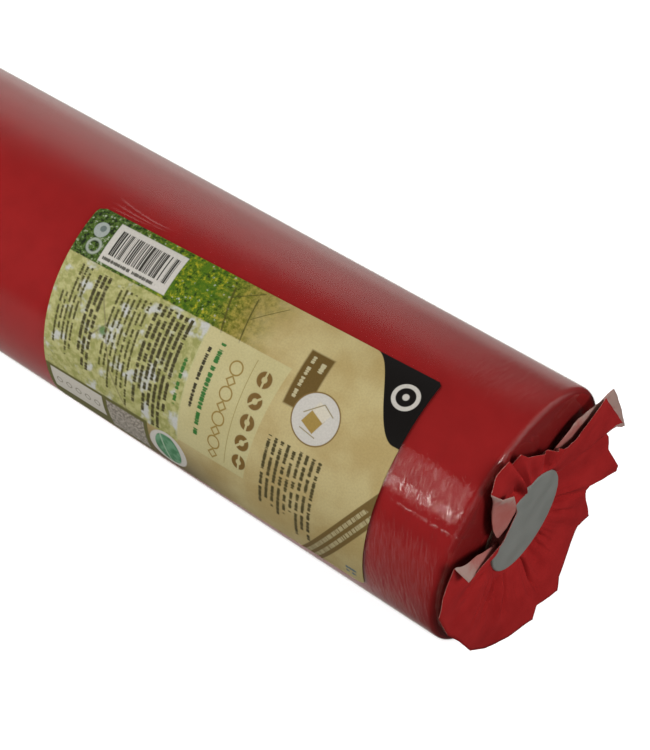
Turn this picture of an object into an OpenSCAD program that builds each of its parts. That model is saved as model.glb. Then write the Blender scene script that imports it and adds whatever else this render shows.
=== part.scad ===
// Table paper roll: a web of coloured paper on a paperboard core, wrapped in clear film, with a
// label. In each end of the core a plug pinches a gathered sheet of the same paper as a rosette.
// X runs along the roll and Z is up. The origin is on the core's axis, halfway along the roll,
// and the roll lies on the flat that its own weight presses along its underside.

/* [Roll] */
// Length of the roll, which is the width of the paper web
roll_length = 400; // [300:10:600]
// Outside diameter over the film
roll_d = 100; // [90:1:120]
// Radius of the rounded shoulders at both ends
shoulder_r = 6; // [3:0.5:8]
// Width of the flat along the underside, where the soft roll rests
rest_width = 12; // [10:1:16]

/* [Core] */
// Bore of the paperboard core
core_bore_d = 38; // [30:0.5:50]
// Wall thickness of the core
core_wall = 3; // [2:0.5:5]
// Depth from each mouth over which the plug has pressed the bore wider
seat_depth = 22; // [18:1:30]
// Radius that the pressed seat has over the bore's radius
seat_relief = 0.4; // [0.3:0.1:0.8]

/* [Film] */
// Thickness of the clear film
film_t = 0.3; // [0.2:0.05:0.5]
// Diameter of the round hole that the shrunk film leaves at each end
film_hole_d = 54; // [50:1:70]
// Width of the film's lap seam
seam_width = 9; // [5:1:15]
// Where the lap seam lies round the roll, in degrees from +Y towards +Z
seam_angle = -50; // [-60:5:60]

/* [Label] */
// Length of the label along the roll
label_length = 149; // [100:1:180]
// Height of the label round the roll
label_height = 86; // [60:1:90]
// Thickness of the label
label_t = 0.2; // [0.15:0.05:0.3]
// Middle of the label along X
label_x = 94.5; // [60:0.5:95]
// Middle of the label round the roll, in degrees from +Y towards +Z
label_angle = 147.8; // [120:0.1:160]
// How far the label is turned on the roll, in degrees
label_turn = 2.3; // [-3:0.1:3]
// Radius of the label's corners
label_corner_r = 3; // [1:0.5:6]

/* [Tail tape] */
// Length of the tape along the roll
tape_length = 60; // [30:5:120]
// Height of the tape round the roll
tape_height = 18; // [10:1:30]
// Where the tape lies round the roll, in degrees from +Y towards +Z
tape_angle = 10; // [0:5:60]

/* [Rosettes] */
// Thickness of the gathered sheet
rosette_t = 0.8; // [0.6:0.1:1.2]
// Depth of the sheet's throat in the core
throat_depth = 20; // [14:1:22]
// Radius at which the flare would end if its outline weren't cut
flare_r = 60; // [58:1:64]
// How far the flare stands in front of the roll's end at that radius
flare_reach = 13; // [8:1:16]
// How far the far rosette is turned from the near one, in degrees
far_turn = 140; // [0:10:350]

/* [Plugs] */
// Diameter of the plug's round flange
flange_d = 40; // [39:0.5:44]
// Thickness of the flange
flange_t = 1.6; // [1.2:0.2:3]
// Length of the plug's hollow spigot
spigot_length = 17; // [10:1:18]
// Wall thickness of the spigot
spigot_wall = 1.4; // [1:0.1:2]
// Clearance between the core's seat, the sheet and the plug
plug_gap = 0.4; // [0.3:0.05:0.6]

/* [Hidden] */
$fn = 96;

paper_red = [0.59, 0.12, 0.12];
board_grey = [0.62, 0.56, 0.47];
plug_grey = [0.37, 0.38, 0.36];

roll_r = roll_d / 2;
half_length = roll_length / 2;
rest_z = -sqrt(roll_r * roll_r - rest_width * rest_width / 4);

core_r = core_bore_d / 2;
core_outer_r = core_r + core_wall;
seat_r = core_r + seat_relief;

air = 0.05;              // gap that keeps neighbouring layers apart
web_inset = film_t + air; // how far the web lies inside the film's outer surface
web_r = roll_r - web_inset;
seam_t = 0.25;           // how far the lap seam stands up
seam_margin = 2;         // bare film between the seam and each shoulder
tape_t = 0.2;

throat_r = seat_r - plug_gap;
throat_bore_r = throat_r - rosette_t;
flare_start_r = core_outer_r;
spigot_r = throat_bore_r - plug_gap;
lead_in = 0.8;           // chamfer on the spigot's inner end and round the flange's front
through = roll_length;   // long enough to cut right through

// Corners of the near rosette's outline: radius, and degrees from +Y towards +Z.
rosette_corners = [[57, 10], [52, 34], [50, 48], [38, 70], [50, 106], [55, 122], [40, 140],
                   [49, 156], [55, 172], [50, 200], [56, 224], [55, 248], [44, 262], [52, 282],
                   [50, 300], [54, 318], [42, 326], [57, 338], [48, 352], [57, 360]];

// Turns a profile of radius against distance along the axis into a solid round the X axis.
module spin() {
    rotate([0, 90, 0]) rotate_extrude() children();
}

// A full round bar along X, centred on the origin.
module bar(r, length) {
    rotate([0, 90, 0]) cylinder(r = r, h = length, center = true);
}

// A pipe along X, centred on the origin.
module pipe(outer_r, inner_r, length) {
    difference() {
        bar(outer_r, length);
        bar(inner_r, length + 1);
    }
}

// The roll's outer form with rounded shoulders, laid on a flat at the height floor_z.
module roll_form(r, half, shoulder, floor_z) {
    intersection() {
        spin() {
            translate([0, shoulder - half]) square([r, 2 * (half - shoulder)]);
            translate([0, -half]) square([r - shoulder, 2 * half]);
            for (end = [-1, 1])
                translate([r - shoulder, end * (half - shoulder)]) circle(r = shoulder);
        }
        translate([-half - 1, -r - 1, floor_z]) cube([2 * half + 2, 2 * r + 2, 2 * r + 2]);
    }
}

// A curved patch of the shell between two radii, cut by the outline given as its child. The
// outline's X runs along the roll, its Y runs round the roll towards smaller angles, and its
// middle is at the given angle and distance along X.
module shell_patch(inner_r, outer_r, angle, middle_x, length) {
    intersection() {
        translate([middle_x, 0, 0]) pipe(outer_r, inner_r, length);
        rotate([angle, 0, 0]) rotate([-90, 0, 0]) linear_extrude(height = 2 * outer_r)
            translate([middle_x, 0]) children();
    }
}

// A rectangle with round corners, centred on the origin.
module rounded_plate(width, height, corner_r) {
    square([width, height - 2 * corner_r], center = true);
    square([width - 2 * corner_r, height], center = true);
    for (x = [-1, 1], y = [-1, 1])
        translate([x * (width / 2 - corner_r), y * (height / 2 - corner_r)]) circle(r = corner_r);
}

// Straight width of a patch that measures arc round a cylinder of radius r.
function chord(arc, r) = 2 * r * sin(arc / (2 * r) * 180 / PI);

module core_tube() {
    color(board_grey) difference() {
        bar(core_outer_r, roll_length);
        bar(core_r, through + 1);
        for (end = [-1, 1])
            translate([end * half_length, 0, 0]) bar(seat_r, 2 * seat_depth);
    }
}

module tail_tape_patch(inner_r, outer_r, margin) {
    shell_patch(inner_r, outer_r, tape_angle, 0, tape_length + 2)
        square([tape_length + 2 * margin, chord(tape_height, web_r) + 2 * margin], center = true);
}

module paper_web() {
    color(paper_red) difference() {
        roll_form(web_r, half_length - web_inset, shoulder_r - web_inset, rest_z + web_inset);
        bar(core_outer_r + air, through + 1);
        tail_tape_patch(web_r - tape_t - air, roll_r, air);
    }
}

module tail_tape() {
    color("ivory") tail_tape_patch(web_r - tape_t, web_r, 0);
}

module film_wrap() {
    color([0.8, 0.6, 0.6, 0.3]) {
        difference() {
            roll_form(roll_r, half_length, shoulder_r, rest_z);
            roll_form(roll_r - film_t, half_length - film_t, shoulder_r - film_t, rest_z + film_t);
            bar(film_hole_d / 2, through + 1);
        }
        shell_patch(roll_r - film_t / 2, roll_r + seam_t, seam_angle, 0, roll_length)
            square([roll_length - 2 * (shoulder_r + seam_margin), chord(seam_width, roll_r)],
                   center = true);
    }
}

module label() {
    color("khaki") shell_patch(roll_r + air, roll_r + air + label_t, label_angle, label_x,
                               label_length + 20)
        rotate(label_turn)
            rounded_plate(label_length, chord(label_height, roll_r), label_corner_r);
}

// A gathered sheet: a cup that lines the core's mouth, and a flare with a cut outline.
module rosette() {
    color(paper_red) intersection() {
        spin() polygon([
            [0, half_length - throat_depth],
            [throat_r, half_length - throat_depth],
            [throat_r, half_length],
            [flare_start_r, half_length],
            [flare_r, half_length + flare_reach - rosette_t],
            [flare_r, half_length + flare_reach],
            [flare_start_r, half_length + rosette_t],
            [throat_bore_r, half_length + rosette_t],
            [throat_bore_r, half_length - throat_depth + rosette_t],
            [0, half_length - throat_depth + rosette_t]]);
        rotate([90, 0, 90]) linear_extrude(height = roll_length)
            polygon([for (corner = rosette_corners)
                corner[0] * [cos(corner[1]), sin(corner[1])]]);
    }
}

// Keeps only what is above the surface that the roll lies on.
module above_rest() {
    intersection() {
        children();
        translate([-roll_length, -roll_length, rest_z + air])
            cube([2 * roll_length, 2 * roll_length, roll_length]);
    }
}

module near_rosette() {
    above_rest() rosette();
}

module far_rosette() {
    above_rest() mirror([1, 0, 0]) rotate([far_turn, 0, 0]) rosette();
}

// A moulded plug: a flat round flange and a hollow spigot.
module plug() {
    face_x = half_length + rosette_t;
    color(plug_grey) spin() polygon([
        [0, face_x],
        [spigot_r - spigot_wall, face_x],
        [spigot_r - spigot_wall, face_x - spigot_length],
        [spigot_r - lead_in, face_x - spigot_length],
        [spigot_r, face_x - spigot_length + lead_in],
        [spigot_r, face_x],
        [flange_d / 2, face_x],
        [flange_d / 2, face_x + flange_t - lead_in],
        [flange_d / 2 - lead_in, face_x + flange_t],
        [0, face_x + flange_t]]);
}

module near_plug() {
    plug();
}

module far_plug() {
    mirror([1, 0, 0]) plug();
}

core_tube();
paper_web();
tail_tape();
film_wrap();
label();
near_rosette();
near_plug();
far_rosette();
far_plug();
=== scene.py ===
"""A table paper roll: red tissue paper wound on a paperboard core and wrapped in clear film, with a
printed label. In each end of the core a round stopper pinches a gathered sheet of the same paper."""
import math

import bmesh
import bpy
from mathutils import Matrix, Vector, noise


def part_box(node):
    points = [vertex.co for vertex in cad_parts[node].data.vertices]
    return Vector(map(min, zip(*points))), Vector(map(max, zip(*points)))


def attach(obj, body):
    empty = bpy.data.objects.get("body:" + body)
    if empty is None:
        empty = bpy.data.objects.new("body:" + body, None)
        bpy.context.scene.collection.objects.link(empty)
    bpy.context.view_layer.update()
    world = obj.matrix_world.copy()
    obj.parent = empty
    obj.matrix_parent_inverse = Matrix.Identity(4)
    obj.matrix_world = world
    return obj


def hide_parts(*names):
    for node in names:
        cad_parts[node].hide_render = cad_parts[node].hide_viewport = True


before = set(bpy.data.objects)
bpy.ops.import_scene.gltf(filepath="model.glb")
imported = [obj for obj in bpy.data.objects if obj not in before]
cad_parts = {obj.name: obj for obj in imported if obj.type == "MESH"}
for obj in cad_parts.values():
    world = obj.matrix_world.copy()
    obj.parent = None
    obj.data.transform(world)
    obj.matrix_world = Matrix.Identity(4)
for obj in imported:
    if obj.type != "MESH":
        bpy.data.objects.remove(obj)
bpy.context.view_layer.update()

# ---------------------------------------------------------------- sizes in metres, angles in degrees
MM = 0.001
FILM_LOW, FILM_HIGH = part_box("film_wrap")
WEB_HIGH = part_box("paper_web")[1]
CORE_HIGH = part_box("core_tube")[1]
LABEL_LOW, LABEL_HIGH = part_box("label")
TAPE_LOW, TAPE_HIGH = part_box("tail_tape")
PLUG_LOW, PLUG_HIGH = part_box("near_plug")

ROLL_R = FILM_HIGH.z
HALF = FILM_HIGH.x
REST_Z = FILM_LOW.z
WEB_R = WEB_HIGH.z
CORE_R = CORE_HIGH.z
FLANGE_R = PLUG_HIGH.z
PLUG_FACE = PLUG_HIGH.x
PLUG_TIP = PLUG_LOW.x

SHOULDER = 3 * MM
FILM_T = 0.22 * MM
FILM_HOLE_R = 27 * MM
BORE_R = 19 * MM
SEAT_R = 19.4 * MM
SEAT_DEPTH = 22 * MM
SEAM_ANGLE = -50
SEAM_WIDTH = 9 * MM
SEAM_T = 0.22 * MM
TAIL_ANGLE = 10
TAPE_HEIGHT = 18 * MM
TAPE_T = 0.07 * MM
LABEL_ANGLE = 147.8
LABEL_TURN = 2.3
LABEL_T = 0.18 * MM

# The label's outline and the marks in the film, in millimetres. The weld and the creases are placed
# round the roll from its foremost line upwards, and a crease is (place, slope, bend) at CREASE_X.
LABEL_SIZE = (149.0, 86.0)
LABEL_CORNER = 3.0
LABEL_SHARP_CORNER = 1.0
WELD_ROUND = 31.6
CREASE_X = 35.0
FILM_CREASES = ((71.2, 0.03, 0.004), (72.8, -0.05, 0.006), (69.9, 0.10, 0.003))


# ---------------------------------------------------------------- node materials
class Graph:
    """Builds a node tree with short calls."""

    def __init__(self, tree):
        self.tree = tree
        self.tree.nodes.clear()

    def add(self, kind, **settings):
        node = self.tree.nodes.new("ShaderNode" + kind)
        for key, value in settings.items():
            setattr(node, key, value)
        return node

    def feed(self, socket, value):
        if isinstance(value, bpy.types.NodeSocket):
            self.tree.links.new(value, socket)
        else:
            socket.default_value = value

    def math(self, operation, *values, clamp=False):
        node = self.add("Math", operation=operation, use_clamp=clamp)
        for socket, value in zip(node.inputs, values):
            self.feed(socket, value)
        return node.outputs[0]

    def times(self, first, second):
        return self.math("MULTIPLY", first, second)

    def plus(self, first, second):
        return self.math("ADD", first, second)

    def minus(self, first, second):
        return self.math("SUBTRACT", first, second)

    def absolute(self, value):
        return self.math("ABSOLUTE", value)

    def vector(self, operation, *values):
        node = self.add("VectorMath", operation=operation)
        for socket, value in zip(node.inputs, values):
            self.feed(socket, value)
        return node.outputs[0]

    def scaled(self, vector, factor):
        node = self.add("VectorMath", operation="SCALE")
        self.feed(node.inputs[0], vector)
        self.feed(node.inputs["Scale"], factor)
        return node.outputs[0]

    def split(self, vector):
        node = self.add("SeparateXYZ")
        self.feed(node.inputs[0], vector)
        return node.outputs

    def joined(self, x, y, z=0.0):
        node = self.add("CombineXYZ")
        for socket, value in zip(node.inputs, (x, y, z)):
            self.feed(socket, value)
        return node.outputs[0]

    def noise(self, vector, scale, detail=2.0, roughness=0.5):
        node = self.add("TexNoise")
        self.feed(node.inputs["Vector"], vector)
        self.feed(node.inputs["Scale"], scale)
        self.feed(node.inputs["Detail"], detail)
        self.feed(node.inputs["Roughness"], roughness)
        return node.outputs[0]

    def cells(self, vector, scale):
        node = self.add("TexVoronoi")
        self.feed(node.inputs["Vector"], vector)
        self.feed(node.inputs["Scale"], scale)
        return node.outputs["Distance"]

    def rise(self, value, low, high, to_low=0.0, to_high=1.0):
        """Goes smoothly from to_low to to_high as value goes from low to high."""
        node = self.add("MapRange", interpolation_type="SMOOTHSTEP")
        for socket, number in zip(node.inputs, (value, low, high, to_low, to_high)):
            self.feed(socket, number)
        return node.outputs[0]

    def mix(self, factor, first, second):
        node = self.add("Mix", data_type="RGBA")
        self.feed(node.inputs[0], factor)
        self.feed(node.inputs[6], first)
        self.feed(node.inputs[7], second)
        return node.outputs[2]

    def bump(self, height, strength, distance):
        node = self.add("Bump")
        self.feed(node.inputs["Height"], height)
        node.inputs["Strength"].default_value = strength
        node.inputs["Distance"].default_value = distance
        return node.outputs[0]

    def place_mm(self):
        """The point on the piece, in millimetres, in the frame of the roll at rest."""
        return self.scaled(self.add("TexCoord").outputs["Object"], 1000.0)

    def surface(self, shader):
        self.feed(self.add("OutputMaterial").inputs["Surface"], shader)

    def principled(self, colour, roughness, normal=None, **sockets):
        node = self.add("BsdfPrincipled")
        self.feed(node.inputs["Base Color"], colour)
        self.feed(node.inputs["Roughness"], roughness)
        if normal is not None:
            self.feed(node.inputs["Normal"], normal)
        for name, value in sockets.items():
            node.inputs[name.replace("_", " ")].default_value = value
        return node.outputs[0]


def new_material(name):
    material = bpy.data.materials.new(name)
    material.use_nodes = True
    return material, Graph(material.node_tree)


def ink(red, green, blue):
    """A print colour, given as 0-255 display values and returned as node sockets take it."""
    channels = [((c / 255 + 0.055) / 1.055) ** 2.4 if c > 10 else c / 255 / 12.92 for c in (red, green, blue)]
    return (*[min(c * INK_LIGHT, 1.0) for c in channels], 1.0)


INK_LIGHT = 1.01
PAPER_RED = (0.275, 0.0125, 0.0125, 1.0)
PAPER_DARK = (0.240, 0.0105, 0.0105, 1.0)
TISSUE_RED = (0.38, 0.0195, 0.0190, 1.0)
TISSUE_DARK = (0.29, 0.0130, 0.0130, 1.0)
PAPER_BACK = (0.38, 0.25, 0.215, 1.0)
# Darker pink for the back of the tissue: painted shade and painted red bounce light, not the paper's own
# colour.
BACK_PAINTED_RED_SHADE = (0.37, 0.105, 0.088, 1.0)


def tissue_fibres(graph, place):
    """Fine felted fibres: long soft clouds with short hairs in them."""
    clouds = graph.noise(place, 0.12, 3.0)
    hairs = graph.noise(place, 2.6, 4.0, 0.7)
    return graph.plus(graph.times(clouds, 0.55), graph.times(hairs, 0.45))


def paper_front():
    """The dyed face of the tissue."""
    material, graph = new_material("red_tissue_front")
    place = graph.place_mm()
    fibres = tissue_fibres(graph, place)
    colour = graph.mix(graph.rise(fibres, 0.30, 0.70), TISSUE_DARK, TISSUE_RED)
    creases = graph.cells(graph.vector("ADD", place, (3.0, 1.0, 7.0)), 0.16)
    height = graph.plus(fibres, graph.times(creases, 0.9))
    normal = graph.bump(height, 0.35, 0.5 * MM)
    graph.surface(graph.principled(colour, 0.90, normal, Specular_IOR_Level=0.08))
    return material


def paper_back():
    """The other face: its own pale colour along the torn outer edge, and further in towards the stopper a
    darker pink that is painted shade and painted red bounce light from the dyed face.
    """
    material, graph = new_material("pale_tissue_back")
    place = graph.place_mm()
    fibres = tissue_fibres(graph, place)
    along = graph.split(graph.add("UVMap", uv_map="sheet").outputs[0])[0]
    ragged = graph.times(graph.minus(graph.noise(place, 0.45, 3.0), 0.5), 0.30)
    # Painted shade and painted red bounce light: the darker pink covers the sheet from the stopper out and
    # gives way to the back's own pale colour near the torn edge.
    pale = graph.rise(graph.plus(along, ragged), 0.78, 0.98)
    colour = graph.mix(pale, BACK_PAINTED_RED_SHADE, PAPER_BACK)
    colour = graph.mix(graph.rise(fibres, 0.30, 0.70, 0.0, 0.25), colour, (0.48, 0.33, 0.29, 1.0))
    normal = graph.bump(fibres, 0.30, 0.4 * MM)
    graph.surface(graph.principled(colour, 0.90, normal, Specular_IOR_Level=0.08))
    return material


def paper_torn_edge():
    """The cut or torn edge, where pale fibres stand out."""
    material, graph = new_material("tissue_torn_edge")
    hairs = graph.noise(graph.place_mm(), 1.8, 3.0, 0.7)
    colour = graph.mix(graph.rise(hairs, 0.45, 0.62), (0.38, 0.07, 0.06, 1.0), (0.52, 0.27, 0.23, 1.0))
    graph.surface(graph.principled(colour, 0.9, Specular_IOR_Level=0.08))
    return material


def wound_paper_material():
    """Red tissue on the outside, and the edges of the turns on the two end faces."""
    material, graph = new_material("wound_tissue")
    place = graph.place_mm()
    x, y, z = graph.split(place)
    fibres = tissue_fibres(graph, place)
    radius = graph.math("SQRT", graph.plus(graph.times(y, y), graph.times(z, z)))
    winding = graph.noise(graph.joined(graph.times(radius, 3.0), 0.0), 1.0, 3.0, 0.8)
    on_end = graph.rise(graph.absolute(x), 198.2, 199.2)
    side = graph.mix(graph.rise(fibres, 0.30, 0.70), PAPER_DARK, PAPER_RED)
    turns = graph.mix(graph.rise(winding, 0.40, 0.62), (0.165, 0.0075, 0.0075, 1.0), PAPER_RED)
    colour = graph.mix(on_end, side, turns)
    normal = graph.bump(graph.times(winding, on_end), 0.4, 0.4 * MM)
    graph.surface(graph.principled(colour, 0.85, normal, Specular_IOR_Level=0.08))
    return material


def film_material():
    """Clear shrink film: fine slanted wrinkles near the ends, a row of weld dots and a few creases."""
    material, graph = new_material("clear_film")
    place = graph.place_mm()
    x, y, z = graph.split(place)
    slanted = graph.plus(graph.times(x, 0.80), graph.times(z, 0.22))
    across = graph.joined(slanted, graph.times(y, 0.14), graph.times(z, 0.14))
    streaks = graph.noise(across, 1.0, 3.0, 0.65)
    near_end = graph.rise(graph.absolute(x), 160.0, 176.0, 0.0, 1.0)
    ripples = graph.noise(place, 0.06, 2.0)
    round_mm = graph.times(graph.math("ARCTAN2", z, graph.times(y, -1.0)), ROLL_R / MM)
    from_weld = graph.absolute(graph.minus(round_mm, WELD_ROUND))
    wrinkled = graph.times(near_end, graph.rise(from_weld, 6.0, 12.0, 1.0, 0.55))
    wrinkled = graph.times(wrinkled, graph.rise(round_mm, 50.0, 66.0, 1.0, 0.35))
    height = graph.plus(graph.times(streaks, graph.times(wrinkled, 0.50)),
                        graph.times(ripples, 0.12))
    dots = graph.rise(graph.noise(graph.joined(x, 0.0), 0.75, 1.0), 0.42, 0.55)
    weld = graph.rise(from_weld, 0.0, 0.7, 1.0, 0.0)
    past_label = graph.rise(x, 172.0, 176.0)
    weld = graph.times(graph.times(weld, dots), past_label)
    marks = graph.times(weld, 0.35)
    for start, slope, bend in FILM_CREASES:
        off = graph.minus(x, CREASE_X)
        path = graph.plus(start, graph.plus(graph.times(off, slope),
                          graph.times(graph.times(off, off), bend)))
        line = graph.rise(graph.absolute(graph.minus(round_mm, path)), 0.0, 1.0, 1.0, 0.0)
        reach = graph.rise(graph.absolute(off), 8.0, 15.0, 0.25, 0.0)
        marks = graph.plus(marks, graph.times(line, reach))
    height = graph.plus(height, marks)
    normal = graph.bump(height, 1.0, 0.5 * MM)
    mirror = graph.add("BsdfGlossy")
    mirror.inputs["Color"].default_value = (0.95, 0.92, 0.86, 1.0)
    graph.feed(mirror.inputs["Roughness"], graph.rise(streaks, 0.35, 0.65, 0.08, 0.13))
    graph.feed(mirror.inputs["Normal"], normal)
    clear = graph.add("BsdfTransparent")
    clear.inputs["Color"].default_value = (0.985, 0.985, 0.985, 1.0)
    share = graph.add("Fresnel")
    share.inputs["IOR"].default_value = 1.42
    glints = graph.rise(graph.noise(across, 1.7, 2.0, 0.6), 0.50, 0.64, 0.0, 0.075)
    glints = graph.plus(graph.times(glints, wrinkled), graph.times(marks, 0.20))
    both = graph.add("MixShader")
    outside = graph.minus(1.0, graph.add("NewGeometry").outputs["Backfacing"])
    graph.feed(both.inputs[0], graph.times(outside, graph.plus(share.outputs[0], glints)))
    graph.feed(both.inputs[1], clear.outputs[0])
    graph.feed(both.inputs[2], mirror.outputs[0])
    graph.surface(both.outputs[0])
    return material


def film_inside_material():
    """The film's inner side clings to the paper and mirrors nothing of its own."""
    material, graph = new_material("clear_film_inside")
    clear = graph.add("BsdfTransparent")
    clear.inputs["Color"].default_value = (1.0, 1.0, 1.0, 1.0)
    graph.surface(clear.outputs[0])
    return material


def board_material():
    """Grey-brown board, wound in a spiral whose seam shows as a fine line."""
    material, graph = new_material("core_board")
    place = graph.place_mm()
    x, y, z = graph.split(place)
    turn = graph.math("ARCTAN2", z, y)
    along = graph.plus(graph.math("DIVIDE", x, 70.0), graph.math("DIVIDE", turn, 2 * math.pi))
    seam = graph.absolute(graph.minus(graph.math("FRACT", along), 0.5))
    line = graph.rise(seam, 0.0, 0.008, 1.0, 0.0)
    fibres = graph.noise(place, 1.6, 4.0, 0.7)
    colour = graph.mix(graph.rise(fibres, 0.3, 0.7), (0.36, 0.27, 0.19, 1.0), (0.47, 0.37, 0.27, 1.0))
    colour = graph.mix(line, colour, (0.20, 0.14, 0.09, 1.0))
    normal = graph.bump(graph.minus(fibres, line), 0.4, 0.3 * MM)
    graph.surface(graph.principled(colour, 0.9, normal, Specular_IOR_Level=0.2))
    return material


def tape_material():
    """Cream paper tape with a faint crepe."""
    material, graph = new_material("paper_tape")
    x, y, z = graph.split(graph.place_mm())
    stretched = graph.joined(graph.times(x, 3.0), graph.times(y, 0.4), z)
    crepe = graph.noise(stretched, 1.0, 3.0)
    colour = graph.mix(graph.rise(crepe, 0.3, 0.7), (0.70, 0.65, 0.53, 1.0), (0.80, 0.76, 0.66, 1.0))
    graph.surface(graph.principled(colour, 0.6, graph.bump(crepe, 0.4, 0.2 * MM)))
    return material


def plug_material():
    """Grey moulded plastic with a fine spark texture."""
    material, graph = new_material("grey_plastic")
    place = graph.place_mm()
    grain = graph.noise(place, 3.2, 2.0)
    marks = graph.noise(place, 0.12, 3.0)
    colour = graph.mix(graph.rise(marks, 0.3, 0.7), (0.203, 0.210, 0.190, 1.0), (0.226, 0.233, 0.213, 1.0))
    roughness = graph.rise(marks, 0.3, 0.7, 0.50, 0.60)
    normal = graph.bump(grain, 0.12, 0.1 * MM)
    graph.surface(graph.principled(colour, roughness, normal, Specular_IOR_Level=0.20))
    return material


# ---------------------------------------------------------------- the label's print
class Print(Graph):
    """A flat picture, painted one ink over another. Its u runs along the roll and v down from the
    label's upper edge, both in millimetres."""

    def __init__(self, tree):
        super().__init__(tree)
        mapping = self.add("Mapping")
        self.feed(mapping.inputs["Vector"], self.add("UVMap", uv_map="print").outputs[0])
        mapping.inputs["Scale"].default_value = (LABEL_SIZE[0],) * 3
        self.place = mapping.outputs[0]
        self.u, self.v, _ = self.split(self.place)
        self.colour = None

    def paint(self, mask, colour):
        self.colour = colour if self.colour is None else self.mix(mask, self.colour, colour)

    def both(self, *masks):
        result = masks[0]
        for mask in masks[1:]:
            result = self.times(result, mask)
        return result

    def flip(self, mask):
        return self.math("SUBTRACT", 1.0, mask, clamp=True)

    def box(self, u0, v0, u1, v1, soft=0.2, turn=0.0):
        """1 inside a rectangle, turned about its middle by turn degrees."""
        middle = ((u0 + u1) / 2, (v0 + v1) / 2)
        du = self.minus(self.u, middle[0])
        dv = self.minus(self.v, middle[1])
        if turn:
            c, s = math.cos(math.radians(turn)), math.sin(math.radians(turn))
            du, dv = (self.plus(self.times(du, c), self.times(dv, s)),
                      self.minus(self.times(dv, c), self.times(du, s)))
        out_u = self.minus(self.absolute(du), (u1 - u0) / 2)
        out_v = self.minus(self.absolute(dv), (v1 - v0) / 2)
        return self.rise(self.math("MAXIMUM", out_u, out_v), -soft, soft, 1.0, 0.0)

    def far_from(self, u, v, squash=1.0):
        du = self.minus(self.u, u)
        dv = self.times(self.minus(self.v, v), squash)
        squares = self.plus(self.times(du, du), self.times(dv, dv))
        return self.math("SQRT", squares)

    def disc(self, u, v, r, soft=0.2, squash=1.0):
        return self.rise(self.far_from(u, v, squash), r - soft, r + soft, 1.0, 0.0)

    def ring(self, u, v, r, width, soft=0.15):
        off = self.absolute(self.minus(self.far_from(u, v), r))
        return self.rise(off, width / 2 - soft, width / 2 + soft, 1.0, 0.0)

    def stroke(self, start, end, width):
        """A thin straight line."""
        du, dv = end[0] - start[0], end[1] - start[1]
        half = math.hypot(du, dv) / 2
        u, v = (start[0] + end[0]) / 2, (start[1] + end[1]) / 2
        turn = math.degrees(math.atan2(dv, du))
        return self.box(u - half, v - width / 2, u + half, v + width / 2, 0.15, turn)

    def line_noise(self, value, detail):
        """Noise that changes along one number only."""
        node = self.add("TexNoise", noise_dimensions="1D")
        self.feed(node.inputs["W"], value)
        self.feed(node.inputs["Scale"], 1.0)
        self.feed(node.inputs["Detail"], detail)
        return node.outputs[0]

    def rows(self, u0, v0, u1, v1, count, seed, bold=0.0, across=False):
        """Rows of dashes broken into words, which stand for small print and spell nothing. They run
        down v, or along u when across is set."""
        side, along = (self.v, self.u) if across else (self.u, self.v)
        side0, side1, start, end = (v0, v1, u0, u1) if across else (u0, u1, v0, v1)
        step = self.times(self.minus(side, side0), count / (side1 - side0))
        row = self.math("FLOOR", step)
        off = self.absolute(self.minus(self.math("FRACT", step), 0.5))
        shift = self.plus(self.times(row, 57.3), seed * 31.7)
        letters = self.line_noise(self.plus(self.times(along, 1.5), shift), 1.0)
        words = self.line_noise(self.plus(self.times(along, 0.46), shift), 0.0)
        ragged = self.line_noise(shift, 0.0)
        last = self.rise(ragged, 0.35, 0.60, end, end - 0.30 * (end - start))
        half = self.rise(letters, 0.36, 0.60, 0.19 + bold, 0.31 + bold)
        mask = self.rise(self.minus(off, half), -0.10, 0.06, 1.0, 0.0)
        ink_depth = self.rise(letters, 0.34, 0.44, 0.70, 1.0)
        inside = self.both(self.rise(self.minus(along, start), -0.1, 0.3),
                           self.rise(self.minus(along, last), -0.3, 0.1, 1.0, 0.0))
        spaced = self.rise(words, 0.33, 0.37)
        return self.both(mask, ink_depth, spaced, inside, self.box(u0, v0, u1, v1, 0.05))


WHITE = ink(190, 185, 176)
TEXT = ink(62, 56, 30)


def print_ground(p):
    """Tan ground, paler and greener to the left, with the mottling of a coarse stock."""
    mottle = p.noise(p.place, 0.05, 3.0)
    tan = p.mix(p.rise(mottle, 0.35, 0.65), ink(168, 147, 96), ink(182, 166, 118))
    p.paint(None, tan)
    shade = p.both(p.rise(p.v, 60.0, 86.0), p.rise(p.u, 60.0, 104.0, 1.0, 0.0))
    p.paint(shade, ink(98, 84, 58))


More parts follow.
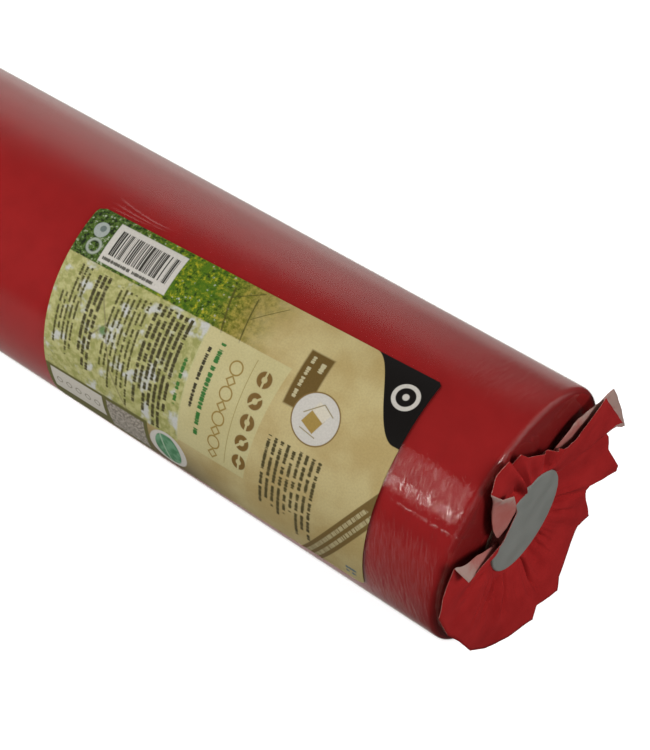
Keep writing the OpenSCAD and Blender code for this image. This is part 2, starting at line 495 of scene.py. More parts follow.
def print_foliage(p):
    """A strip of leaves along the top edge: dark at the left, bright in the middle, fading to tan."""
    leaf = p.noise(p.place, 0.50, 4.0, 0.7)
    clump = p.noise(p.place, 0.16, 2.0)
    deep = p.mix(p.rise(leaf, 0.36, 0.50), ink(34, 50, 8), ink(80, 106, 14))
    bright = p.mix(p.rise(leaf, 0.50, 0.64), deep, ink(158, 152, 30))
    bright = p.mix(p.rise(clump, 0.48, 0.62, 0.0, 0.6), bright, ink(64, 98, 12))
    dark = p.mix(p.rise(leaf, 0.40, 0.54), ink(24, 32, 16), ink(70, 94, 30))
    dark = p.mix(p.rise(leaf, 0.56, 0.64), dark, ink(150, 156, 132))
    leaves = p.mix(p.rise(p.plus(p.u, p.times(clump, 30.0)), 26.0, 60.0), dark, bright)
    flecks = p.rise(p.cells(p.place, 0.42), 0.14, 0.22, 1.0, 0.0)
    leaves = p.mix(p.both(flecks, p.rise(leaf, 0.46, 0.56)), leaves, ink(156, 164, 146))
    olive = p.mix(p.rise(leaf, 0.35, 0.65), ink(104, 98, 26), ink(150, 134, 62))
    strip = p.mix(p.rise(p.plus(p.u, p.times(leaf, 18.0)), 68.0, 88.0), leaves, olive)
    fade = p.rise(p.plus(p.u, p.times(clump, 16.0)), 80.0, 104.0, 1.0, 0.0)
    lower = p.plus(p.v, p.times(p.minus(leaf, 0.5), 2.0))
    p.paint(p.both(fade, p.rise(lower, 19.8, 20.4, 1.0, 0.0)), strip)
    for start, end, width in (((66, 4), (67, 8), 0.8), ((67, 8), (71, 21), 0.7), ((76, 4), (79, 21), 0.6),
                              ((67, 8), (77, 1), 0.4), ((78, 12), (88, 2), 0.3)):
        p.paint(p.times(p.stroke(start, end, width), 0.75), ink(66, 62, 22))


def print_side_panel(p):
    """Pale green panel at the left: leaves seen out of focus, a thin twig, and columns of small print."""
    wash = p.noise(p.place, 0.11, 3.0, 0.6)
    mottle = p.rise(p.noise(p.place, 0.35, 2.0), 0.35, 0.65)
    green = p.mix(mottle, ink(140, 140, 80), ink(170, 166, 112))
    green = p.mix(p.rise(wash, 0.53, 0.66), green, ink(182, 182, 176))
    panel = p.box(-2, 20, 66.5, 67.3, 0.3)
    p.paint(panel, green)
    twig = (((19, 24), (27, 38)), ((27, 38), (33, 54)), ((33, 54), (42, 67)), ((27, 38), (21, 45)),
            ((8, 22), (14, 36)))
    for start, end in twig:
        p.paint(p.times(p.stroke(start, end, 0.7), 0.55), ink(108, 98, 70))
    p.paint(p.times(p.disc(26.5, 40.5, 1.6, 0.8), 0.8), ink(62, 108, 48))
    olive = ink(74, 70, 34)
    p.paint(p.rows(3.6, 34, 7.6, 55, 2, 2.0), olive)
    p.paint(p.rows(7.6, 22, 13.6, 58, 3, 3.0), olive)
    p.paint(p.rows(16.0, 22, 22.6, 66, 3, 9.0, 0.07), TEXT)
    p.paint(p.rows(26.6, 23, 42.0, 67, 7, 5.0, -0.02), olive)
    p.paint(p.rows(43.6, 21.5, 60.4, 68, 7, 13.0, 0.05), TEXT)
    p.paint(p.rows(62.0, 34, 64.6, 53, 1, 17.0, 0.02), ink(54, 104, 40))


def print_barcode(p):
    """White box with bars, and two small pale roundels beside it."""
    p.paint(p.box(12.5, 2.6, 43.8, 18.8, 0.25), WHITE)
    bars = p.line_noise(p.times(p.u, 1.9), 1.0)
    groups = p.rise(p.line_noise(p.times(p.u, 0.35), 0.0), 0.4, 0.6, 0.05, -0.06)
    dark = p.rise(p.plus(bars, groups), 0.46, 0.51)
    p.paint(p.both(p.box(15.0, 4.8, 41.8, 15.2, 0.15), dark), ink(48, 46, 40))
    p.paint(p.rows(13.6, 15.9, 43.0, 18.1, 1, 3.0, 0.02, True), ink(84, 82, 74))
    p.paint(p.disc(7.0, 8.2, 3.1), ink(150, 156, 150))
    p.paint(p.disc(7.3, 7.6, 1.3), ink(98, 108, 104))
    p.paint(p.ring(8.0, 14.8, 2.7, 1.0, 0.4), ink(150, 156, 144))


def print_bottom_row(p):
    """A white strip of plain icons, a patch of noise squares and an oval with a leaf in it."""
    p.paint(p.box(-2, 66.6, 51.5, 90.0, 0.3), ink(92, 88, 46))
    p.paint(p.box(2.2, 68.0, 28.8, 79.4, 0.25), ink(186, 180, 168))
    for step in range(5):
        p.paint(p.ring(5.8 + 4.9 * step, 73.8, 1.3, 0.5), ink(132, 126, 112))
    dots = p.rise(p.noise(p.place, 0.9, 1.0), 0.46, 0.54)
    patch = p.box(31.0, 68.4, 49.5, 84.0, 0.25)
    p.paint(patch, p.mix(dots, ink(118, 110, 98), ink(162, 154, 142)))
    p.paint(p.disc(60.7, 75.5, 8.8, 0.3), WHITE)
    leaf = p.both(p.disc(57.6, 75.9, 9.2, 0.3), p.disc(63.8, 75.1, 9.2, 0.3), p.disc(60.7, 75.5, 7.4, 0.3))
    shade = p.rise(p.noise(p.place, 0.3, 2.0), 0.35, 0.65)
    p.paint(leaf, p.mix(shade, ink(66, 116, 78), ink(104, 146, 112)))
    p.paint(p.both(leaf, p.stroke((57.4, 68.0), (60.6, 83.0), 0.8)), ink(150, 172, 146))


def print_middle_panel(p):
    """See-through cream panel with a plain ornament where a title would be."""
    edge = p.plus(101.5, p.times(p.minus(p.v, 20.0), -0.10))
    cream = p.both(p.box(66.0, 20.2, 112.0, 66.0, 0.25), p.rise(p.minus(edge, p.u), -0.2, 0.2))
    p.paint(p.times(cream, 0.62), ink(186, 180, 134))
    p.paint(p.rows(68.9, 26, 71.5, 60, 1, 6.0, 0.0), ink(56, 50, 32))
    p.paint(p.rows(72.8, 23.4, 76.0, 64, 1, 7.0, 0.04), ink(48, 104, 44))
    line = ink(140, 116, 58)
    for step in range(4):
        v = 29.0 + 9.6 * step
        p.paint(p.ring(82.8, v, 2.5, 0.6), line)
        p.paint(p.flip(p.math("MAXIMUM", p.flip(p.box(81.2, v + 3.2, 84.4, v + 6.4, 0.2, 45.0)),
                              p.box(81.8, v + 3.8, 83.8, v + 5.8, 0.2, 45.0))), line)
    p.paint(p.stroke((88.8, 23.0), (88.2, 64.0), 0.3), ink(150, 136, 84))
    for step in range(5):
        v = 28.0 + 8.0 * step
        petals = p.both(p.disc(94.4, v, 3.0, 0.25), p.flip(p.disc(94.4, v, 1.1, 0.25)))
        cut = p.flip(p.box(94.0, v - 4, 94.8, v + 4, 0.15, 45.0 * (step % 2)))
        p.paint(p.both(petals, cut), ink(112, 84, 38))


def print_size_tag(p):
    """Brown tag, and a roundel with a plain drawing of a folded cloth on a table."""
    p.paint(p.box(104.0, 11.0, 113.6, 31.5, 0.5), ink(98, 76, 34))
    pale = ink(176, 166, 130)
    p.paint(p.rows(109.4, 13.6, 112.4, 19, 1, 12.0, 0.04), pale)
    p.paint(p.rows(105.4, 12.6, 107.9, 31, 1, 13.0, 0.02), pale)
    p.paint(p.disc(117.7, 31.3, 9.3), ink(118, 94, 50))
    p.paint(p.disc(117.7, 31.3, 8.8), WHITE)
    p.paint(p.box(114.2, 29.0, 120.2, 35.4, 0.2, 24.0), ink(150, 124, 62))
    p.paint(p.box(115.6, 26.4, 121.8, 30.4, 0.2, 24.0), ink(198, 190, 172))
    strokes = (((112.6, 31.0), (118.6, 25.6)), ((118.6, 25.6), (123.4, 28.2)), ((113.4, 36.0), (120.2, 37.2)))
    for start, end in strokes:
        p.paint(p.stroke(start, end, 0.4), ink(140, 128, 96))
    p.paint(p.rows(103.2, 43.4, 127.0, 79.5, 9, 20.0, 0.0), ink(70, 62, 34))


def print_band(p):
    """Brown band across the lower right corner with two lines of small print."""
    slope = p.plus(p.v, p.times(p.u, 1.55))
    band = p.both(p.rise(slope, 273.4, 274.2), p.rise(slope, 287.6, 288.4, 1.0, 0.0))
    p.paint(band, ink(108, 86, 44))
    along = p.minus(p.v, p.times(p.u, 0.6))
    row = p.math("FLOOR", p.math("DIVIDE", slope, 5.5))
    letters = p.line_noise(p.plus(p.times(along, 1.3), p.times(row, 57.3)), 1.0)
    for low in (276.4, 281.9):
        line = p.both(p.rise(slope, low, low + 0.5), p.rise(slope, low + 3.0, low + 3.5, 1.0, 0.0))
        p.paint(p.both(line, p.rise(letters, 0.40, 0.50), p.rise(p.v, 50, 51)), ink(170, 158, 118))
    p.paint(p.rows(141.5, 78.5, 147.5, 83.0, 2, 33.0, 0.05, True), ink(86, 104, 112))


def print_black_corner(p):
    """Black corner behind a flowing edge, with a plain ring and dot."""
    edge = p.rise(p.u, 122.8, 146.6, 0.0, 27.0)
    p.paint(p.rise(p.minus(edge, p.v), -0.15, 0.25), ink(12, 8, 6))
    p.paint(p.ring(141.6, 10.6, 4.2, 1.5), WHITE)
    p.paint(p.disc(141.6, 10.6, 1.2), WHITE)


def label_material():
    material = bpy.data.materials.new("label_print")
    material.use_nodes = True
    p = Print(material.node_tree)
    for layer in (print_ground, print_foliage, print_side_panel, print_barcode, print_bottom_row,
                  print_middle_panel, print_size_tag, print_band, print_black_corner):
        layer(p)
    grain = p.noise(p.place, 1.4, 3.0)
    colour = p.mix(0.10, p.colour, p.mix(p.rise(grain, 0.3, 0.7), (0.0, 0.0, 0.0, 1.0), p.colour))
    normal = p.bump(grain, 0.08, 0.1 * MM)
    p.surface(p.principled(colour, 0.62, normal, Specular_IOR_Level=0.25))
    return material


# ---------------------------------------------------------------- mesh helpers
def wobble(x, y, z):
    """Smooth noise, from about -1 to 1, that depends only on the place."""
    return noise.noise(Vector((x, y, z)))


def point(x, radius, degrees):
    angle = math.radians(degrees)
    return Vector((x, radius * math.cos(angle), radius * math.sin(angle)))


def new_piece(name, points, faces, materials, sharp=40):
    mesh = bpy.data.meshes.new(name)
    mesh.from_pydata(points, [], faces)
    mesh.validate()
    for material in materials:
        mesh.materials.append(material)
    piece = bpy.data.objects.new(name, mesh)
    bpy.context.scene.collection.objects.link(piece)
    mesh.polygons.foreach_set("use_smooth", [True] * len(mesh.polygons))
    mesh.set_sharp_from_angle(angle=math.radians(sharp))
    return piece


def arc(x, radius, size, start, end, steps):
    """Points (x, radius) on a round corner of a profile; angles go from +X towards outward."""
    turns = [math.radians(start + (end - start) * i / steps) for i in range(steps + 1)]
    return [(x + size * math.cos(t), radius + size * math.sin(t)) for t in turns]


def dense(profile, longest):
    """The closed profile with its long runs cut into steps."""
    result = []
    for (x0, r0), (x1, r1) in zip(profile, profile[1:] + profile[:1]):
        steps = max(1, math.ceil(math.hypot(x1 - x0, r1 - r0) / longest))
        result += [(x0 + (x1 - x0) * i / steps, r0 + (r1 - r0) * i / steps) for i in range(steps)]
    return result


def lathe(name, profile, segments, materials, shape=point, sharp=40, inside=None):
    """Turns a closed profile round X. shape(x, radius, degrees) places each point. Faces whose middle
    on the profile is inside(x, radius) take the second material."""
    count = len(profile)
    points = [shape(x, r, 360 * s / segments) for s in range(segments) for x, r in profile]
    faces = [(s * count + i, s * count + (i + 1) % count,
              (s + 1) % segments * count + (i + 1) % count, (s + 1) % segments * count + i)
             for s in range(segments) for i in range(count)]
    piece = new_piece(name, points, faces, materials, sharp)
    if inside is not None:
        middles = [((a[0] + b[0]) / 2, (a[1] + b[1]) / 2) for a, b in zip(profile, profile[1:] + profile[:1])]
        second = [int(inside(x, r)) for x, r in middles]
        piece.data.polygons.foreach_set("material_index", second * segments)
    clean = bmesh.new()
    clean.from_mesh(piece.data)
    bmesh.ops.remove_doubles(clean, verts=clean.verts, dist=0.001 * MM)
    bmesh.ops.recalc_face_normals(clean, faces=clean.faces)
    clean.to_mesh(piece.data)
    clean.free()
    piece.data.set_sharp_from_angle(angle=math.radians(sharp))
    return piece


def smooth(value, low, high):
    t = min(max((value - low) / (high - low), 0.0), 1.0)
    return t * t * (3 - 2 * t)


# ---------------------------------------------------------------- the roll
def roll_profile(radius, half, shoulder, inner, wall=None):
    """Closed profile of a roll with rounded shoulders: solid down to inner, or a shell of that wall."""
    def side(r, h, s):
        right = [(h, inner)] + arc(h - s, r - s, s, 0, 90, 10)
        return right + [(-x, y) for x, y in reversed(right)]
    outer = side(radius, half, shoulder)
    if wall is None:
        return outer
    return outer + list(reversed(side(radius - wall, half - wall, shoulder - wall)))


def flattened(place, lowest):
    """The soft roll settles on a flat along its underside."""
    place.z = max(place.z, lowest)
    return place


def film_shape(x, radius, degrees):
    """Taut film with faint waves, puckers round the end holes and a lap seam that stands proud."""
    on_end = smooth(abs(x), HALF - 3 * MM, HALF - 0.5 * MM) * smooth(radius, 46 * MM, 42 * MM)
    c, s = math.cos(math.radians(degrees)), math.sin(math.radians(degrees))
    pucker = wobble(degrees * 0.22, 0.0, math.copysign(3.0, x))
    pucker += 0.5 * wobble(c * 22, s * 22, 9)
    x -= math.copysign(on_end * smooth(radius, 42 * MM, 27 * MM) * 0.18 * MM * (1 + pucker), x)
    if radius < FILM_HOLE_R + 0.01 * MM:
        radius += 0.6 * MM * wobble(c * 4, s * 4, x * 10)
    wave = wobble(x * 60, degrees * 0.05, 2.0)
    wave += wobble(x * 18, degrees * 0.02, 5.0)
    radius -= (1 - on_end) * 0.03 * MM * (1 + wave) * smooth(radius, 40 * MM, 48 * MM)
    off = abs((degrees - SEAM_ANGLE + 180) % 360 - 180) * math.pi / 180 * ROLL_R
    lap = smooth(off, SEAM_WIDTH / 2 + 0.3 * MM, SEAM_WIDTH / 2 - 0.3 * MM)
    radius += lap * SEAM_T * smooth(abs(x), HALF - 6 * MM, HALF - 9 * MM)
    return flattened(point(x, radius, degrees), REST_Z)


def web_shape(x, radius, degrees):
    """The outer turn ends in a small step at the tail."""
    past_tail = (degrees - TAIL_ANGLE) % 360 / 360
    if radius > WEB_R - SHOULDER:
        radius -= 0.10 * MM * past_tail
    return flattened(point(x, radius, degrees), REST_Z + 0.35 * MM)


def film_inner_side(x, radius):
    """True nearer to the film's inner side than to its outer one."""
    out_x = abs(x) - (HALF - SHOULDER)
    out_r = radius - (ROLL_R - SHOULDER)
    depth = SHOULDER - math.hypot(max(out_x, 0.0), max(out_r, 0.0)) - min(max(out_x, out_r), 0.0)
    return depth > FILM_T / 2


def make_film():
    profile = dense(roll_profile(ROLL_R, HALF, SHOULDER, FILM_HOLE_R, FILM_T), 4 * MM)
    materials = [film_material(), film_inside_material()]
    piece = lathe("clear_film", profile, 360, materials, film_shape, 60, film_inner_side)
    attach(piece, "roll")
    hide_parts("film_wrap")


def make_web():
    gap = 0.03 * MM
    profile = dense(roll_profile(WEB_R - gap, WEB_HIGH.x, SHOULDER - 0.4 * MM, CORE_R + gap), 8 * MM)
    piece = lathe("wound_paper", profile, 288, [wound_paper_material()], web_shape)
    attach(piece, "roll")
    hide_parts("paper_web")


def make_core():
    edge = 0.4 * MM
    half = CORE_HIGH.x
    side = [(half - SEAT_DEPTH - 0.6 * MM, BORE_R), (half - SEAT_DEPTH, SEAT_R), (half - edge, SEAT_R),
            (half, SEAT_R + edge)] + arc(half - edge, CORE_R - edge, edge, 0, 90, 3)
    profile = side + [(-x, r) for x, r in reversed(side)]
    piece = lathe("paperboard_core", dense(profile, 25 * MM), 160, [board_material()])
    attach(piece, "roll")
    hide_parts("core_tube")


def curved_patch(name, columns, rows, outline, thickness, materials, sharp=60):
    """A closed thin patch. outline(s, t) gives a point on its outer face and the point's UV, and the
    patch is thickness deep below it."""
    points, faces, uvs = [], [], []
    for layer in (0, 1):
        for j in range(rows + 1):
            for i in range(columns + 1):
                place, uv = outline(i / columns, j / rows)
                inward = Vector((0, place.y, place.z)).normalized() * thickness * layer
                points.append(place - inward)
                uvs.append(uv)
    size = (columns + 1) * (rows + 1)

    def at(layer, i, j):
        return layer * size + j * (columns + 1) + i
    for j in range(rows):
        for i in range(columns):
            faces.append((at(0, i, j), at(0, i, j + 1), at(0, i + 1, j + 1), at(0, i + 1, j)))
            faces.append((at(1, i, j), at(1, i + 1, j), at(1, i + 1, j + 1), at(1, i, j + 1)))
    for j in range(rows):
        for i, turn in ((0, False), (columns, True)):
            side = [at(0, i, j), at(1, i, j), at(1, i, j + 1), at(0, i, j + 1)]
            faces.append(side[::-1] if turn else side)
    for i in range(columns):
        for j, turn in ((0, True), (rows, False)):
            side = [at(0, i, j), at(1, i, j), at(1, i + 1, j), at(0, i + 1, j)]
            faces.append(side[::-1] if turn else side)
    piece = new_piece(name, points, faces, materials, sharp)
    layer = piece.data.uv_layers.new(name="print")
    for loop in piece.data.loops:
        layer.data[loop.index].uv = uvs[loop.vertex_index]
    clean = bmesh.new()
    clean.from_mesh(piece.data)
    bmesh.ops.recalc_face_normals(clean, faces=clean.faces)
    clean.to_mesh(piece.data)
    clean.free()
    return piece


def make_label():
    width, height = LABEL_SIZE
    middle_x = (LABEL_LOW.x + LABEL_HIGH.x) / 2
    radius = ROLL_R + 0.25 * MM
    turn = math.radians(LABEL_TURN)

    def inset(v, corner):
        """How far a rounded corner draws the side edge in, v from the upper or lower edge."""
        return corner - math.sqrt(max(corner ** 2 - max(corner - v, 0.0) ** 2, 0.0))

    def outline(s, t):
        v = height * t
        left = inset(min(v, height - v), LABEL_CORNER)
        right = max(inset(v, LABEL_SHARP_CORNER), inset(height - v, LABEL_CORNER))
        u = left + (width - left - right) * s
        du, dv = u - width / 2, v - height / 2
        x = middle_x + (du * math.cos(turn) + dv * math.sin(turn)) * MM
        around = (dv * math.cos(turn) - du * math.sin(turn)) * MM
        lift = 0.05 * MM * wobble(u * 0.05, v * 0.08, 1.0)
        return point(x, radius + lift, LABEL_ANGLE + math.degrees(around / radius)), (u / width, v / width)
    piece = curved_patch("printed_label", 110, 72, outline, LABEL_T, [label_material()])
    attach(piece, "roll")
    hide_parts("label")


def make_tape():
    middle_x = (TAPE_LOW.x + TAPE_HIGH.x) / 2
    length = TAPE_HIGH.x - TAPE_LOW.x
    def outline(s, t):
        ragged = 0.5 * MM * wobble(t * 40, s * 3, 4.0)
        x = middle_x + (s - 0.5) * (length + 2 * ragged)
        degrees = TAIL_ANGLE + math.degrees((t - 0.5) * TAPE_HEIGHT / WEB_R)
        return point(x, WEB_R + 0.06 * MM, degrees), (s, t)
    piece = curved_patch("tail_end_tape", 30, 12, outline, TAPE_T, [tape_material()])
    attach(piece, "roll")
    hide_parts("tail_tape")


# ---------------------------------------------------------------- the stoppers
def make_plug(name, node, body, mirror, material):
    """A round moulded stopper: flange with a rounded edge, and a hollow spigot with a lead-in."""
    face, back = PLUG_FACE, PLUG_FACE - 1.6 * MM
    spigot, wall, edge = 17.8 * MM, 1.4 * MM, 0.7 * MM
    profile = [(face - 0.25 * MM, 0.0), (face - 0.2 * MM, 10 * MM), (face, FLANGE_R - 2.2 * MM)]
    profile += arc(face - edge, FLANGE_R - edge, edge, 0, 90, 6)
    profile += [(back + 0.2 * MM, FLANGE_R), (back, FLANGE_R - 0.2 * MM), (back, spigot + 0.3 * MM),
                (back - 0.3 * MM, spigot)]
    profile += [(PLUG_TIP + 1.2 * MM, spigot), (PLUG_TIP, spigot - 0.7 * MM), (PLUG_TIP, spigot - wall),
                (back - 0.6 * MM, spigot - wall), (back, spigot - wall - 0.8 * MM), (back, 0.0)]
    if mirror:
        profile = [(-x, r) for x, r in profile]
    piece = lathe(name, dense(profile, 6 * MM), 128, [material], sharp=30)
    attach(piece, body)
    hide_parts(node)


# ---------------------------------------------------------------- the gathered sheets
# Each row is one fold or corner of the sheet, in order round its edge: the angle at which it leaves
# the core's mouth, then its crest by the stopper, its middle and its outer end, each as (degrees,
# radius, height above the end of the roll), in degrees and millimetres. A row whose angles run back
# makes the sheet fold over itself, so that its pale back shows.
FOLDS = (
    (27, (27, 21.5, 3.0), (14, 36, 5.3), (0, 58, 6.2)),
    (42, (42, 21.5, 3.2), (40, 35, 5.9), (41, 50, 5.8)),
    (52, (50, 21.3, 3.3), (50, 27, 4.9), (50, 34, 5.7)),
    (60, (62, 21.2, 3.1), (64, 25, 4.5), (64, 31, 5.7)),
    (76, (78, 21.0, 2.4), (80, 26, 4.0), (84, 34.5, 4.4)),
    (88, (92, 21.0, 2.6), (96, 30, 3.8), (100, 43, 3.4)),
    (93, (97, 21.2, 2.2), (100.5, 31, 3.2), (104.0, 49, 3.0)),
    (97, (101.5, 21.2, 0.8), (105.5, 30, 0.5), (108.0, 44, 0.6)),
    (102, (104.5, 21.6, 3.4), (107.0, 36, 5.0), (110.0, 53, 2.6)),
    (108, (112, 21.5, 2.8), (114, 38, 3.4), (117, 54.5, 2.2)),
    (124, (148, 23.0, 2.6), (128, 43, 2.9), (123, 52.5, 3.5)),
    (127, (146, 23.4, 3.6), (126, 36, 4.4), (122, 44.5, 5.0)),
    (130, (138, 23.4, 4.2), (122, 30, 5.4), (117.5, 39, 5.7)),
    (133, (120, 21.2, 3.0), (121, 23.2, 4.6), (122, 25.6, 5.6)),
    (140, (136, 21.1, 3.4), (135, 23.2, 5.0), (134, 25.4, 6.0)),
    (150, (151, 21.1, 3.6), (149, 23.4, 5.4), (147, 25.8, 6.2)),
    (158, (163, 21.2, 4.2), (161, 31, 6.2), (159.5, 46, 7.0)),
    (160, (153, 23.5, 3.2), (151.5, 38, 3.9), (152.5, 52.5, 3.9)),
    (164, (166, 22.5, 2.4), (163, 36, 2.6), (160, 50, 2.5)),
    (172, (175, 22.0, 2.6), (173, 36, 3.9), (167, 51, 2.6)),
    (182, (183, 21.5, 1.7), (184, 36, 3.0), (177, 52.5, 2.9)),
    (192, (191, 21.2, 1.5), (192, 35, 2.3), (199, 48, 2.8)),
    (204, (205, 21.2, 2.1), (208, 36, 5.0), (214, 47, 4.0)),
    (218, (219, 21.2, 1.6), (223, 37, 4.2), (231, 51, 4.6)),
    (234, (234, 21.2, 2.0), (239, 37, 6.2), (245.5, 54.2, 5.4)),
    (250, (250, 21.2, 1.7), (251, 36, 6.2), (255, 51.0, 9.1)),
    (262, (262, 21.2, 2.0), (264, 36, 8.2), (268, 49.3, 12.0)),
    (266, (266, 21.2, 1.8), (268, 35, 7.4), (271.5, 44, 11.0)),
    (273, (273, 21.2, 1.4), (275, 33, 5.0), (276, 46, 11.2)),
    (282, (282, 21.2, 1.9), (281, 36, 7.6), (286.5, 51.4, 12.0)),
    (292, (292, 21.2, 1.7), (292, 35, 6.6), (291.5, 49.5, 10.0)),
    (303, (303, 21.2, 1.9), (303, 34, 5.2), (303, 48, 8.0)),
    (312, (312, 21.2, 1.5), (313, 35, 4.4), (314, 50, 6.0)),
    (318, (319, 21.2, 1.9), (319, 37, 5.6), (318.5, 57, 6.0)),
    (330, (330, 21.2, 1.4), (331, 30, 3.4), (334, 40, 6.0)),
    (336, (336, 21.2, 1.8), (337, 31, 4.6), (338, 41, 6.4)),
    (341, (341, 21.2, 1.9), (340, 38, 6.8), (340, 56.5, 8.8)),
    (344, (344, 21.2, 1.6), (344, 37, 6.0), (344, 54.5, 9.4)),
    (352, (353, 21.2, 1.3), (354, 34, 3.6), (355, 48.5, 6.0)),
    (368, (368, 21.3, 1.2), (365, 33, 3.4), (364, 47.5, 5.6)),
    (376, (400, 21.8, 0.9), (402, 31, 1.7), (388, 44, 2.9)),
    (381, (430, 22.0, 1.1), (430, 30, 2.3), (401.5, 45, 3.5)),
    (383, (410, 21.8, 1.7), (396, 36, 3.6), (393, 54.5, 4.6)),
    (385, (395, 21.6, 2.3), (382, 37, 4.4), (380.5, 54, 5.4)),
)
TIGHT_FOLDS = ((147, 13), (26, 27))
ROW_STEPS = 7
RUNS = ((0, 1, 5), (1, 2, 8), (2, 3, 9))
# The cup pushed into the core, in millimetres like the folds: its floor's place along the roll, how
# far the floor sags, and its radius.
CUP_X = 181.0
CUP_SAG = 0.35
THROAT_R = 18.65
SHEET_T = 0.16 * MM


def along_fold(row, turn):
    """Points (degrees, radius, height) from the core's mouth to the outer end of one fold."""
    mouth = (row[0] + turn, 19.9, 0.35)
    knots = [mouth] + [(degrees + turn, radius, height) for degrees, radius, height in row[1:]]
    tangents = []
    for i in range(4):
        before, after = knots[max(i - 1, 0)], knots[min(i + 1, 3)]
        scale = 0.5 if 0 < i < 3 else 1.0
        tangents.append([(b - a) * scale for a, b in zip(before, after)])
    tangents[0] = [0.0, 0.3, 1.6]
    result = []
    for first, second, steps in RUNS:
        for i in range(steps):
            t = i / steps
            h00, h10 = 2 * t ** 3 - 3 * t ** 2 + 1, t ** 3 - 2 * t ** 2 + t
            h01, h11 = -2 * t ** 3 + 3 * t ** 2, t ** 3 - t ** 2
            result.append([h00 * a + h10 * m + h01 * b + h11 * n for a, m, b, n in
                           zip(knots[first], tangents[first], knots[second], tangents[second])])
    return result + [list(knots[3])]


def on_face(degrees, radius, height):
    """The point at that angle and radius round the roll's end, height above it."""
    angle = math.radians(degrees)
    return Vector((radius * math.cos(angle), radius * math.sin(angle), height))


def between(one, two, t):
    """A point between two folds: round the mouth near the core, and straight across further out."""
    degrees, radius, height = (a + (b - a) * t for a, b in zip(one, two))
    straight = on_face(*one).lerp(on_face(*two), t)
    return on_face(degrees, radius, height).lerp(straight, smooth(radius, 22, 30))


def gathered_columns(turn, seed):
    """The sheet as columns of points from the middle of its pushed-in cup to its outer edge."""
    rows = [along_fold(row, turn) for row in FOLDS]
    wrapped = [[d + 360, r, h] for d, r, h in rows[0]]
    columns, angles = [], []
    for i, row in enumerate(rows):
        following = rows[i + 1] if i + 1 < len(rows) else wrapped
        for step in range(ROW_STEPS):
            t = step / ROW_STEPS
            columns.append([between(a, b, t) for a, b in zip(row, following)])
            angles.append(row[0][0] + (following[0][0] - row[0][0]) * t)
    for _ in range(2):
        softened = []
        for i, column in enumerate(columns):
            before, after = columns[i - 1], columns[(i + 1) % len(columns)]
            middle = [c * 0.5 + (a + b) * 0.25 for a, b, c in zip(before, after, column[:-2])]
            softened.append(middle + column[-2:])
        columns = softened
    return [pleated(column, angle, seed, looseness(angle - turn)) for column, angle in zip(columns, angles)]


def looseness(angle):
    """0 where the sheet is folded over itself and lies tight, 1 where it has room for gathers."""
    loose = 1.0
    for middle, reach in TIGHT_FOLDS:
        away = abs((angle - middle + 180) % 360 - 180)
        loose *= smooth(away, reach, reach + 12)
    return loose


def pleated(column, angle, seed, loose):
    """Adds narrow gathers and sharp creases by the stopper where the sheet is loose, and soft crumples."""
    c, s = math.cos(math.radians(angle)), math.sin(math.radians(angle))
    gather = wobble(c * 9, s * 9, seed) + 0.6 * wobble(c * 21, s * 21, seed + 3)
    crease = 3.3 * max(0.0, 1 - 8 * abs(wobble(c * 4.5, s * 4.5, seed + 5)))
    result = []
    for place in column:
        radius = math.hypot(place.x, place.y)
        fold = loose * (gather * 1.3 - crease) * smooth(radius, 44, 26) * smooth(radius, 21.5, 25.0)
        crumple = wobble(place.x * 0.11, place.y * 0.11, seed + 7) * 0.6
        crumple += wobble(place.x * 0.35, place.y * 0.35, seed + 11) * 0.12
        height = place.z + fold + crumple * smooth(radius, 24, 34)
        result.append(Vector((place.x, place.y, max(height, 0.45 if radius < 44 else height))))
    cup_height = CUP_X - HALF / MM
    cup = []
    for depth in (0.0, 2.5, 5.0, 8.0, 11.0, 14.0, 16.5, 18.2):
        throat = THROAT_R + 0.30 * gather * smooth(depth, 0, 3) * smooth(depth, 19, 15)
        if depth > 14.0:
            throat += (19.7 - THROAT_R) * smooth(depth, 15.0, 19.0)
        cup.append(Vector((throat * c, throat * s, cup_height + depth)))
    floor = [Vector((c * r, s * r, cup_height - CUP_SAG + 0.2 * wobble(c * r, s * r, seed)))
             for r in (4.0, 9.0, 14.0, 17.6)]
    return floor + cup + result


def above_floor(place):
    """Paper that would go below the surface lies along it and is pushed out."""
    low = REST_Z / MM + 0.25
    if place.z < low:
        place.x += math.copysign((low - place.z) * 0.35, place.x)
        place.z = low + 0.02 * (place.z - low)
    return place


def make_gathered_sheet(name, node, body, turn, seed, mirror, materials):
    columns = gathered_columns(turn, seed)
    side = -1 if mirror else 1
    length = len(columns[0])
    points = [above_floor(Vector((side * (HALF / MM + p.z), p.x, p.y))) * MM
              for column in columns for p in column]
    points.append(Vector((side * (CUP_X - CUP_SAG) * MM, 0, 0)))
    faces = []
    for j in range(len(columns)):
        k = (j + 1) % len(columns)
        faces += [(j * length + i, j * length + i + 1, k * length + i + 1, k * length + i)
                  for i in range(length - 1)]
        faces.append((len(points) - 1, j * length, k * length))
    if mirror:
        faces = [face[::-1] for face in faces]
    piece = new_piece(name, points, faces, materials, 80)
    layer = piece.data.uv_layers.new(name="sheet")
    for loop in piece.data.loops:
        column, step = divmod(min(loop.vertex_index, len(points) - 2), length)
        layer.data[loop.index].uv = (step / (length - 1), column / len(columns))
    solid = piece.modifiers.new("thickness", "SOLIDIFY")
    solid.thickness = SHEET_T
    solid.offset = -1.0
    solid.material_offset = 1
    solid.material_offset_rim = 2
    baked = bpy.data.meshes.new_from_object(piece.evaluated_get(bpy.context.evaluated_depsgraph_get()))
    piece.modifiers.clear()
    piece.data = baked
    baked.name = name
    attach(piece, body)
    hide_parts(node)
    return piece


